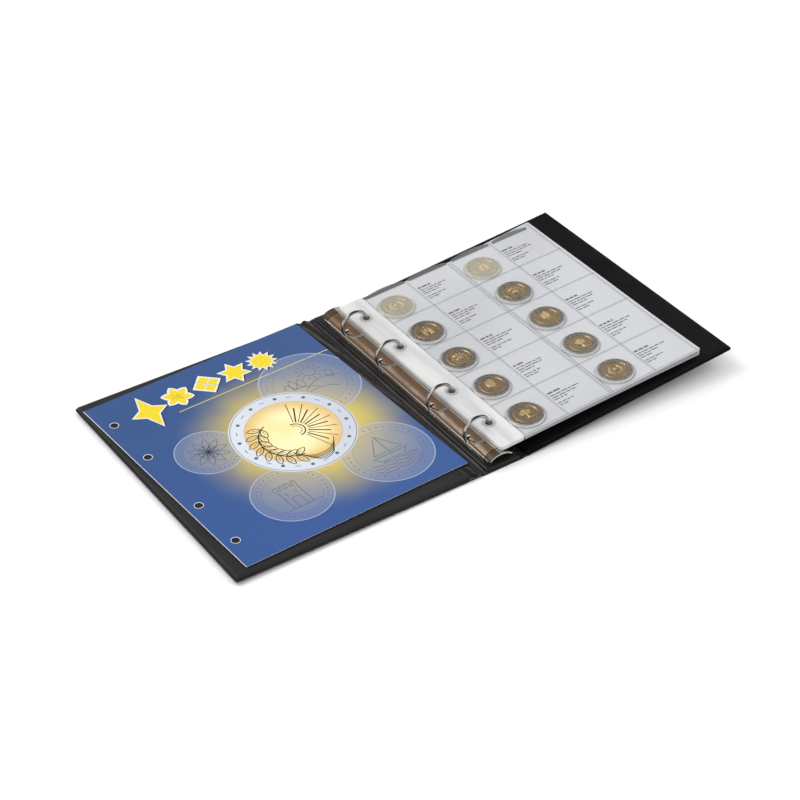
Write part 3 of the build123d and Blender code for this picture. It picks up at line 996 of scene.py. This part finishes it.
def core_mesh(motif):
    """A coin's middle as (x, y, height) points with a relief share each, and its faces."""
    points = [(0.0, 0.0, motif(0, 0))]
    for ring in range(1, CORE_RINGS + 1):
        radius = COIN_CORE * ring / CORE_RINGS
        for n in range(COIN_TURNS):
            turn = 2 * math.pi * n / COIN_TURNS
            x, y = polar(0.0, 0.0, radius, turn)
            inside = smooth((COIN_CORE - 0.9 - radius) / 0.6)
            height = inside * motif(1.12 * x / COIN_CORE, 1.12 * y / COIN_CORE)
            edge = 0.75 * smooth((radius - COIN_CORE + 0.55) * 4) if radius < COIN_CORE else 0.1
            points.append((x, y, max(height, edge)))
    faces = [[0, 1 + n, 1 + (n + 1) % COIN_TURNS] for n in range(COIN_TURNS)]
    for ring in range(CORE_RINGS - 1):
        base = 1 + ring * COIN_TURNS
        for n in range(COIN_TURNS):
            after = (n + 1) % COIN_TURNS
            faces.append(
                [base + n, base + COIN_TURNS + n, base + COIN_TURNS + after, base + after]
            )
    return points, faces


RING_STEPS = 14
BEADS = 18
EDGE_HIGHLIGHT_RELIEF = 2.0           # tells the coin's paint that this is its edge, which it paints pale as a painted highlight


def ring_height(radius, turn):
    """Relief of a coin's outer ring: two rims and a row of beads."""
    share = (radius - COIN_CORE) / (COIN_RADIUS - COIN_CORE)
    rim = smooth((share - 0.74) * 9) * smooth((1.0 - share) * 14)
    inner = 0.6 * smooth((0.16 - share) * 12) * smooth(share * 30)
    bead_turn = (turn * BEADS / (2 * math.pi) + 0.5) % 1 - 0.5
    bead = math.hypot(bead_turn * 2 * math.pi * radius / BEADS, radius - COIN_CORE - 1.45)
    return max(rim, inner, 0.45 * smooth((0.62 - bead) * 2.4))


def ring_mesh():
    """The outer ring's upper face, its reeded edge, its under face and its bore."""
    turns = COIN_TURNS * 2
    rows = []
    for step in range(RING_STEPS + 1):
        radius = COIN_CORE + (COIN_RADIUS - 0.12 - COIN_CORE) * step / RING_STEPS
        heights = [ring_height(radius, 2 * math.pi * n / turns) for n in range(turns)]
        rows.append([(radius, 0.0, height) for height in heights])
    reeds = [0.06 * (n % 2) for n in range(turns)]
    for level in (0.12, COIN_THICK / 2, COIN_THICK - 0.12):
        rows.append([(COIN_RADIUS - reeds[n], level, EDGE_HIGHLIGHT_RELIEF) for n in range(turns)])
    for radius in (COIN_RADIUS - 0.15, COIN_CORE + 0.01):
        rows.append([(radius, COIN_THICK, 0.4) for n in range(turns)])
    return rows


RING_RELIEF = 0.16


def make_coins(silver, gold):
    """Ten two-metal coins lying in the top page's pockets."""
    level = CARD_THICK + FILM_GAP + 0.1
    lie = page_place("top")
    rows = ring_mesh()
    turns = len(rows[0])
    for number, (cx, cy, row) in enumerate(coin_spots(), 1):
        tip = 0.10 * math.sin(3.0 * number)

        def place(x, y, depth):
            return lie(cx + x, cy + y, level + COIN_THICK - depth + 0.004 * tip * x)

        points = []
        for ring in rows:
            for n, (radius, depth, relief) in enumerate(ring):
                sink = depth + (RING_RELIEF * (1 - relief) if depth == 0 else 0)
                points.append(place(*polar(0.0, 0.0, radius, 2 * math.pi * n / turns), sink))
        faces = stacked_faces(turns, len(rows), capped=False)
        shares = [relief for ring in rows for _, _, relief in ring]
        outer = add_piece(f"coin_ring_{number:02d}", points, faces, silver, sharp=60)
        finish_coin(outer, shares, "coin_outer_rings")

        face_points, core_faces = core_mesh(MOTIFS[(number + number // 6) % len(MOTIFS)])
        points = [place(x, y, CORE_RELIEF * (1 - h)) for x, y, h in face_points]
        shares = [h for _, _, h in face_points]
        wall = len(points) - COIN_TURNS
        edge = face_points[wall:]
        points += [place(x, y, COIN_THICK) for x, y, _ in edge]
        shares += [0.3] * COIN_TURNS
        under = wall + COIN_TURNS
        for n in range(COIN_TURNS):
            after = (n + 1) % COIN_TURNS
            core_faces.append([wall + n, wall + after, under + after, under + n])
        core_faces.append([under + n for n in range(COIN_TURNS)])
        middle = add_piece(f"coin_centre_{number:02d}", points, core_faces, gold, sharp=60)
        finish_coin(middle, shares, "coin_centres")


def finish_coin(piece, shares, node):
    relief = piece.data.attributes.new("relief", "FLOAT", "POINT")
    relief.data.foreach_set("value", shares)
    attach(piece, "top_page")
    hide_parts(node)


# ---- title sheet ----
SHEET_LEVEL = SHELL + 0.32
SHEET_PAPER = 0.3
BIG_COIN = (108.0, -2.8, 46.0, 34.8)    # middle, ring radius, centre radius
GHOSTS = ((149.8, 36.4, 38.0), (147.5, -60.9, 34.0), (67.7, -59.8, 29.5), (46.5, 12.2, 24.4))


def sheet_matrix():
    """Sheet axes: x from its punched outer edge, y along that edge."""
    lift = Matrix.Translation((SHEET_EDGE[0] - FRONT_HINGE_X, SHEET_EDGE[1], SHEET_LEVEL))
    return FRONT_PLANE @ lift @ Matrix.Rotation(math.radians(SHEET_TURN), 4, "Z")


SHEET_PLANE = sheet_matrix()


def sheet_place(x, y, height):
    """How the sheet lies: nearly flat, with a soft wave and a near edge that stands off."""
    near = max(0.0, -y / PAGE_HEIGHT * 2) ** 4
    wave = 0.10 * math.sin(0.035 * x + 0.4) * math.cos(0.03 * y)
    return SHEET_PLANE @ Vector((x, y, height + 0.1 + wave + 0.5 * near))


def sheet_print():
    """Blue print with a yellow glow, four faint coins and a large bright one."""
    paint = Paint("title_print", (0.04, 0.09, 0.27), 0.34, Specular_IOR_Level=0.25)
    turn = math.radians(-SHEET_TURN)
    ex, ey = SHEET_EDGE
    shift_x = ey * math.sin(turn) - ex * math.cos(turn)
    shift_y = -ex * math.sin(turn) - ey * math.cos(turn)
    shift = (shift_x, shift_y, 0)
    spot = paint.place(scale=(1000, 1000, 0), turn=-SHEET_TURN, shift=shift)
    split = paint.add("ShaderNodeSeparateXYZ")
    paint.feed(split.inputs[0], spot)
    x, y = split.outputs[0], split.outputs[1]
    cloud = paint.noise(spot, 0.03, 3)

    shade = paint.mix(paint.ease(y, -100, 100), (0.036, 0.094, 0.285), (0.038, 0.088, 0.235))
    away = paint.distance(spot, (112.0, -8.0, 0.0))
    uneven = paint.maths("ADD", away, paint.maths("MULTIPLY", cloud, 14.0))
    glow = paint.ease(uneven, 30, 98, 0.95, 0.0)
    shade = paint.mix(glow, shade, (0.74, 0.58, 0.09))

    for gx, gy, radius in GHOSTS:
        away = paint.distance(spot, (gx, gy, 0.0))
        disc = paint.ease(away, radius - 0.2, radius + 0.2, 0.36, 0.0)
        shade = paint.mix(disc, shade, (0.30, 0.35, 0.50))
        field = paint.ease(away, radius * 0.70, radius * 0.72, 0.22, 0.0)
        shade = paint.mix(field, shade, (0.27, 0.28, 0.25))
        for share, width, tone, strength in (
            (0.985, 0.5, (0.48, 0.53, 0.66), 0.8),
            (0.93, 0.3, (0.08, 0.11, 0.22), 0.5),
            (0.72, 0.35, (0.08, 0.10, 0.16), 0.5),
        ):
            off = paint.maths("ABSOLUTE", paint.maths("SUBTRACT", away, radius * share))
            line = paint.ease(off, 0.0, width, strength, 0.0)
            shade = paint.mix(line, shade, tone)

    bx, by, outer, core = BIG_COIN
    away = paint.distance(spot, (bx, by, 0.0))
    silver = paint.mix(paint.ease(x, 70, 150), (0.64, 0.68, 0.74), (0.55, 0.59, 0.65))
    shade = paint.mix(paint.ease(away, outer - 0.2, outer + 0.2, 1.0, 0.0), shade, silver)
    gold = paint.mix(paint.ease(cloud, 0.35, 0.65), (0.90, 0.72, 0.32), (0.92, 0.82, 0.47))
    edge_gold = paint.ease(away, core * 0.55, core, 0.0, 0.6)
    gold = paint.mix(edge_gold, gold, (0.60, 0.33, 0.08))
    shade = paint.mix(paint.ease(away, core - 0.3, core + 0.3, 1.0, 0.0), shade, gold)
    for radius, width, strength in ((outer - 1.2, 0.5, 0.85), (core, 0.45, 0.35)):
        off = paint.maths("ABSOLUTE", paint.maths("SUBTRACT", away, radius))
        shade = paint.mix(paint.ease(off, 0.0, width, strength, 0.0), shade, (0.05, 0.05, 0.07))
    paint.colour(shade)
    paint.bump(cloud, 0.3, 0.15)
    return paint.material


def make_title_sheet(paper_print, paper_edge):
    low = (0.0, -PAGE_HEIGHT / 2)
    high = (SHEET_WIDTH, PAGE_HEIGHT / 2)
    holes = [circle(HOLE_INSET, y, HOLE_RADIUS) for y in RING_Y]
    cuts = (spaced(low[0], high[0], SHEET_CUTS), spaced(low[1], high[1], SHEET_CUTS))
    flat = flat_sheet(rounded_rectangle(low, high, 0.6, 2), holes, *cuts)
    points, faces, rim = thick(flat, lambda x, y, t: sheet_place(x, y, t * SHEET_PAPER))
    piece = add_piece(
        "title_sheet_print", points, faces, paper_print, rim=paper_edge, rim_faces=rim
    )
    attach(piece, "title_sheet")
    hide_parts("title_sheet")


TITLE_BASE = 70.0
TITLE_TALL = 20.0
OUTLINE = 1.5               # white showing round the yellow


def title_shapes(grow):
    """A compass star, a rosette, four lozenges, a star and a sun, grown by an outline's width."""
    middle = TITLE_BASE + TITLE_TALL / 2
    big_star = [18.6 + 1.5 * grow, 6.6 + 0.9 * grow, 13.0 + 1.3 * grow, 6.6 + 0.9 * grow] * 2
    shapes = [star_shape(38.0, 76.0, big_star, 90)]
    for n in range(6):
        shapes.append(leaf_shape(64.0, middle, 11.0 + grow, 5.6 + 2 * grow, 30 + 60 * n))
    for n in range(4):
        turn = math.radians(90 * n)
        x = 89.0 + 5.4 * math.cos(turn)
        y = middle + 5.4 * math.sin(turn)
        shapes.append(star_shape(x, y, [4.7 + 1.4 * grow] * 4))
    shapes.append(star_shape(113.0, middle, [11.2 + 1.4 * grow, 5.8 + grow] * 6, 90))
    shapes.append(star_shape(137.0, middle, [10.4 + 1.3 * grow, 6.6 + grow] * 13, 90))
    return shapes


def leafy_branch(x, y, radius, start, step, count, leaf):
    """A curved stem with pairs of leaves."""
    lines = [ribbon(arc(x, y, radius, start - 10, start + step * count), 0.9)]
    for n in range(count):
        turn = start + step * n
        px, py = polar(x, y, radius, math.radians(turn))
        for side in (-1, 1):
            outline, _ = leaf_shape(px, py, leaf, leaf * 0.42, turn + 90 + side * 48)
            lines.append(ribbon(outline, 0.7, closed=True))
            middle, _ = leaf_shape(px, py, leaf * 0.7, 0.4, turn + 90 + side * 48)
            lines.append(ribbon(middle[:8], 0.4))
    return lines


def relief_lines():
    """Dark line work on the large printed coin: a leafy branch, a sun with rays and furrows."""
    bx, by, _, core = BIG_COIN
    lines = leafy_branch(bx - 6, by - 4, 22.0, 122, 18, 8, 11.0)
    for n in range(13):
        turn = math.radians(-66 + 11 * n)
        near = polar(bx + 2, by, 9, turn)
        far = polar(bx, by, core - 3 - 5 * (n % 2), turn)
        lines.append(ribbon([near, far], 0.6 + 0.5 * (n % 2)))
    lines.append(ribbon(arc(bx + 2, by, 7.0, -90, 90), 1.0))
    lines.append(ribbon(arc(bx + 2, by, 4.6, -90, 90), 0.5))
    for n in range(5):
        lines.append(ribbon(arc(bx + 3, by - 14 - 3.6 * n, 18 - 2 * n, 200, 335), 0.6))
    return lines


def ring_marks():
    """Beads and short strokes round the large coin's ring and the faint ones."""
    bx, by, outer, core = BIG_COIN
    marks = []
    middle = (outer + core) / 2 - 0.4
    for n in range(24):
        turn = math.radians(15 * n)
        x, y = polar(bx, by, middle, turn)
        if n % 2:
            marks.append(star_shape(x, y, [1.5] * 10))
        else:
            across = [polar(x, y, reach, turn + 1.57) for reach in (-2, 0, 2)]
            marks.append(ribbon(across, 0.6))
    return marks


def looped(points):
    return points + points[:1]


def blossom():
    paths = [looped(circle(0, 0, 0.14, 12))]
    for reach in (0.95, 0.5):
        paths += [looped(leaf_shape(0, 0, reach, 0.30, 36 * n)[0]) for n in range(10)]
    return paths


def hills():
    """Three hills, trees and a sun with rays."""
    paths = [arc(-0.45, -0.8, 0.8, 40, 150), arc(0.45, -0.95, 1.0, 55, 140)]
    paths += [arc(0.05, -1.2, 0.9, 45, 135), looped(circle(0.3, 0.5, 0.2, 16))]
    for n in range(12):
        turn = math.radians(30 * n)
        paths.append([polar(0.3, 0.5, reach, turn) for reach in (0.26, 0.42)])
    for x, y in ((-0.65, -0.1), (-0.45, 0.02), (-0.2, -0.05), (0.75, -0.1)):
        paths.append(looped(leaf_shape(x, y, 0.42, 0.22, 90)[0]))
    return paths


def sailing_boat():
    """A boat with two sails over four waves."""
    across = [n / 14 - 1 for n in range(29)]
    paths = [
        [(0.85 * x, -0.45 - 0.15 * row + 0.04 * math.sin(12 * x + row)) for x in across]
        for row in range(4)
    ]
    paths.append([(-0.6, -0.12), (-0.42, -0.36), (0.42, -0.36), (0.62, -0.12), (-0.6, -0.12)])
    paths.append([(0.05, -0.1), (0.05, 0.85), (0.55, 0.0), (0.05, 0.0)])
    paths.append([(-0.03, 0.75), (-0.5, 0.0), (-0.03, 0.0)])
    return paths


def gate_tower():
    """A tower with battlements, an arched door and windows."""
    teeth = []
    for n in range(4):
        x = -0.48 + 0.256 * n
        teeth += [(x, 0.38), (x, 0.6), (x + 0.14, 0.6), (x + 0.14, 0.38)]
    paths = [[(-0.4, -0.75), (-0.4, 0.25), (-0.48, 0.38)] + teeth + [(0.4, 0.25), (0.4, -0.75)]]
    paths.append([(-0.8, -0.75), (0.8, -0.75)])
    paths.append([(-0.18, -0.75)] + arc(0, -0.35, 0.18, 180, 0, 12) + [(0.18, -0.75)])
    for x in (-0.2, 0.2):
        paths.append([(x, 0.0), (x, 0.18)])
    return paths


def ghost_lines():
    """Faint drawings and rim dots on the four pale coins, where the large one leaves them free."""
    lines = []
    drawings = (hills(), sailing_boat(), gate_tower(), blossom())
    for (gx, gy, radius), drawing in zip(GHOSTS, drawings):
        marks = circle(gx, gy, radius * 0.83, 36)
        lines += [star_shape(x, y, [0.6] * 8) for x, y in marks if far_from_big_coin((x, y))]
        for path in drawing:
            points = [(gx + radius * 0.66 * x, gy + radius * 0.66 * y) for x, y in path]
            for a, b in zip(points, points[1:]):
                if far_from_big_coin(a) and far_from_big_coin(b):
                    lines.append(ribbon([a, b], 0.55))
    return lines


def far_from_big_coin(point):
    return math.hypot(point[0] - BIG_COIN[0], point[1] - BIG_COIN[1]) > BIG_COIN[2] + 1


def cut_edges():
    """White paper showing round the punched holes and along the outer edge."""
    rims = [ribbon(circle(HOLE_INSET, y, HOLE_RADIUS + 0.2, 24), 0.4, closed=True) for y in RING_Y]
    return rims + [bar(0.0, -PAGE_HEIGHT / 2, 0.35, PAGE_HEIGHT)]


def make_title_art(yellow, white, dark, faint, rule):
    top = SHEET_PAPER
    shadow = [
        ([(x + 0.7, y - 0.8) for x, y in points], faces)
        for points, faces in title_shapes(OUTLINE)
    ]
    pieces = (
        printed("title_shadow", shadow, sheet_place, top, dark, 0.02),
        printed("title_outline", title_shapes(OUTLINE), sheet_place, top + 0.02, white),
        printed("title_ornaments", title_shapes(0.0), sheet_place, top + 0.05, yellow),
        printed("title_rule", [ribbon([(55, 63.4), (120, 63.4), (184.8, 63.4)], 0.8)],
                sheet_place, top, rule),
        printed("title_cut_edges", cut_edges(), sheet_place, top, white, 0.01),
        printed("big_coin_lines", relief_lines(), sheet_place, top, dark),
        printed("big_coin_marks", ring_marks(), sheet_place, top, faint),
        printed("pale_coin_lines", ghost_lines(), sheet_place, top, faint),
    )
    for piece in pieces:
        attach(piece, "title_sheet")


# ---- studio ----
CAMERA_AZIMUTH = -34.5
CAMERA_ELEVATION = 37.31
CAMERA_DISTANCE = 1599.07
CAMERA_TARGET = (-16.21, -6.07, 0.0)
CAMERA_LENS = 99.47


def make_camera():
    a = math.radians(CAMERA_AZIMUTH)
    e = math.radians(CAMERA_ELEVATION)
    back = Vector((math.sin(a) * math.cos(e), -math.cos(a) * math.cos(e), math.sin(e)))
    camera = bpy.data.objects.new("camera", bpy.data.cameras.new("camera"))
    camera.data.lens = CAMERA_LENS
    camera.data.sensor_width = 36.0
    camera.location = (Vector(CAMERA_TARGET) + back * CAMERA_DISTANCE) * MM
    camera.rotation_euler = (-back).to_track_quat("-Z", "Y").to_euler()
    bpy.context.scene.collection.objects.link(camera)
    bpy.context.scene.camera = camera


def add_light(name, place, size, power):
    light = bpy.data.lights.new(name, "AREA")
    light.shape = "RECTANGLE"
    light.size, light.size_y = size
    light.energy = power
    holder = bpy.data.objects.new(name, light)
    holder.location = place
    holder.rotation_euler = (-Vector(place)).to_track_quat("-Z", "Y").to_euler()
    bpy.context.scene.collection.objects.link(holder)


def add_card(name, place, size, colour):
    """A coloured card that only shows as a reflection in the metal, vinyl and film."""
    wide = size[0] / 2
    tall = size[1] / 2
    points = [(-wide, -tall, 0), (wide, -tall, 0), (wide, tall, 0), (-wide, tall, 0)]
    card = add_piece(name, points, [[0, 1, 2, 3]], Paint(name, colour, 0.8).material)
    card.location = place
    card.rotation_euler = (-Vector(place)).to_track_quat("Z", "Y").to_euler()
    card.visible_camera = False
    card.visible_diffuse = False
    card.visible_shadow = False


def make_studio():
    paint = Paint("floor", (0.93, 0.93, 0.93), 0.6)
    cloud = paint.noise(paint.place(), 3, 2)
    paint.colour(paint.mix(cloud, (0.92, 0.92, 0.92), (0.94, 0.94, 0.94)))
    far = 6000
    points = [(-far, -far, -0.2), (far, -far, -0.2), (far, far, -0.2), (-far, far, -0.2)]
    floor = add_piece("floor", points, [[0, 1, 2, 3]], paint.material)
    world = bpy.data.worlds.new("studio")
    world.use_nodes = True
    world.node_tree.nodes["Background"].inputs["Color"].default_value = (1, 1, 1, 1)
    world.node_tree.nodes["Background"].inputs["Strength"].default_value = 0.85
    bpy.context.scene.world = world
    add_light("key_light", (-0.7, 0.9, 1.5), (1.0, 1.0), 14)
    add_light("fill_light", (1.2, -0.6, 1.3), (1.2, 1.2), 6)
    add_card("brown_card", (-0.37, 1.37, 1.1), (2800, 2100), (0.20, 0.12, 0.068))
    add_card("dark_overhead_card", (0.5, -0.6, 1.2), (3000, 2700), (0.02, 0.02, 0.02))
    add_card("dark_side_card", (1.2, 0.1, 0.3), (900, 500), (0.01, 0.01, 0.01))
    bpy.context.scene.view_settings.view_transform = "Standard"


# ---- the album ----
def dress_cad_nodes(materials):
    """Materials for the CAD parts that are shown as they are."""
    for node, material in materials.items():
        mesh = frame["nodes"][node].data
        mesh.materials.clear()
        mesh.materials.append(material)


def main():
    # One black vinyl, painted lighter and glossier on the front cover and darker on the back:
    # painted light and shade. The spine's copy lies between them.
    lit_front_vinyl = vinyl(
        "lit_front_vinyl", (0.022, 0.022, 0.023), (0.030, 0.030, 0.031), 0.42, 0.5, 0.15
    )
    shaded_back_vinyl = vinyl("shaded_back_vinyl", (0.004, 0.004, 0.005), (0.008, 0.008, 0.009), 0.46, 0.5, 0.06)
    spine_vinyl = vinyl("spine_vinyl", (0.010, 0.010, 0.011), (0.017, 0.017, 0.018), 0.28, 0.5, 0.4)
    outer_vinyl = vinyl(
        "outer_vinyl", (0.012, 0.012, 0.013), (0.014, 0.014, 0.015), 0.46, 0.8, 0.18
    )
    nickel = metal("nickel", (0.74, 0.71, 0.66), (0.60, 0.56, 0.50), 0.10)
    # The ring wire and levers get a darker copy of the plated metal than the plate: a painted dark
    # reflection.
    bright = metal("bright_wire", (0.50, 0.49, 0.47), (0.40, 0.39, 0.37), 0.06, (300, 300, 300))
    steel = metal("steel", (0.50, 0.50, 0.50), (0.36, 0.36, 0.35), 0.35)
    # Near-black steel for the rails, so that the plate's slots over them read black: painted shade.
    rail_steel_painted_shade = metal("rail_steel_painted_shade", (0.10, 0.10, 0.10), (0.06, 0.06, 0.06), 0.4)
    board = grey_board()
    dress_cad_nodes({
        "spine_outer_skin": outer_vinyl, "spine_board": board, "front_board": board,
        "back_board": board, "plate_posts": steel, "mounting_rivets": steel,
        "near_lever_pin": steel, "far_lever_pin": steel, "left_rail": rail_steel_painted_shade,
        "right_rail": rail_steel_painted_shade, "left_ring_halves": bright, "right_ring_halves": bright,
        "near_lever": bright, "far_lever": bright,
    })

    make_cover("front", FRONT_PLANE, lit_front_vinyl, outer_vinyl)
    make_cover("back", BACK_PLANE, shaded_back_vinyl, outer_vinyl)
    make_spine_lining(spine_vinyl)
    front_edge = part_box("front_board")[1].x / MM + 0.1
    back_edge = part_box("back_board")[0].x / MM - 0.1
    make_hinge_strip(
        "front_hinge_vinyl", -1, FRONT_HINGE_X, FRONT_TILT, front_edge, FRONT_STRIP, spine_vinyl
    )
    make_hinge_strip(
        "back_hinge_vinyl", 1, BACK_HINGE_X, BACK_TILT, back_edge, BACK_STRIP, spine_vinyl
    )
    make_plate(nickel)

    card = page_card()
    film = clear_film("clear_film", 0.03)
    # Cream, cloudier film for the far row of domes: a painted sheen.
    far_row_sheen = clear_film("far_row_sheen_film", 0.2, (0.86, 0.83, 0.70))
    weld = clear_film("weld_film", 0.32, (0.56, 0.58, 0.61))
    patch = clear_film("patch_film", 0.6, (0.60, 0.61, 0.60))
    # Whitish, nearly opaque film for the rings round the coins: a painted highlight.
    pale = clear_film("pocket_wall_painted_highlight", 0.85, (0.94, 0.94, 0.92))
    margin = margin_plastic()
    text = ink("label_grey", (0.09, 0.09, 0.10))
    for name in PAGE_UNDERSIDE:
        make_margin(name, margin, patch)
        make_card(name, card, text)
        make_film(name, film, weld, far_row_sheen, pale)
    make_film_lips(clear_film("lip_film", 0.55, (0.17, 0.18, 0.19), 0.1))
    # Pale metal for the coins' reeded edges: a painted highlight.
    painted_edge_highlight = (0.85, 0.84, 0.80)
    make_coins(
        coin_metal("coin_silver", (0.56, 0.51, 0.44), (0.24, 0.21, 0.18), painted_edge_highlight),
        coin_metal("coin_gold", (0.86, 0.64, 0.29), (0.36, 0.24, 0.09), painted_edge_highlight),
    )

    make_title_sheet(sheet_print(), ink("paper_edge", (0.85, 0.86, 0.90)))
    make_title_art(
        ink("title_yellow", (0.84, 0.66, 0.01)),
        ink("title_white", (0.80, 0.81, 0.83)),
        ink("line_dark", (0.035, 0.03, 0.03)),
        ink("line_faint", (0.12, 0.14, 0.20)),
        ink("rule_yellow", (0.62, 0.56, 0.20)),
    )
    make_camera()
    make_studio()


main()
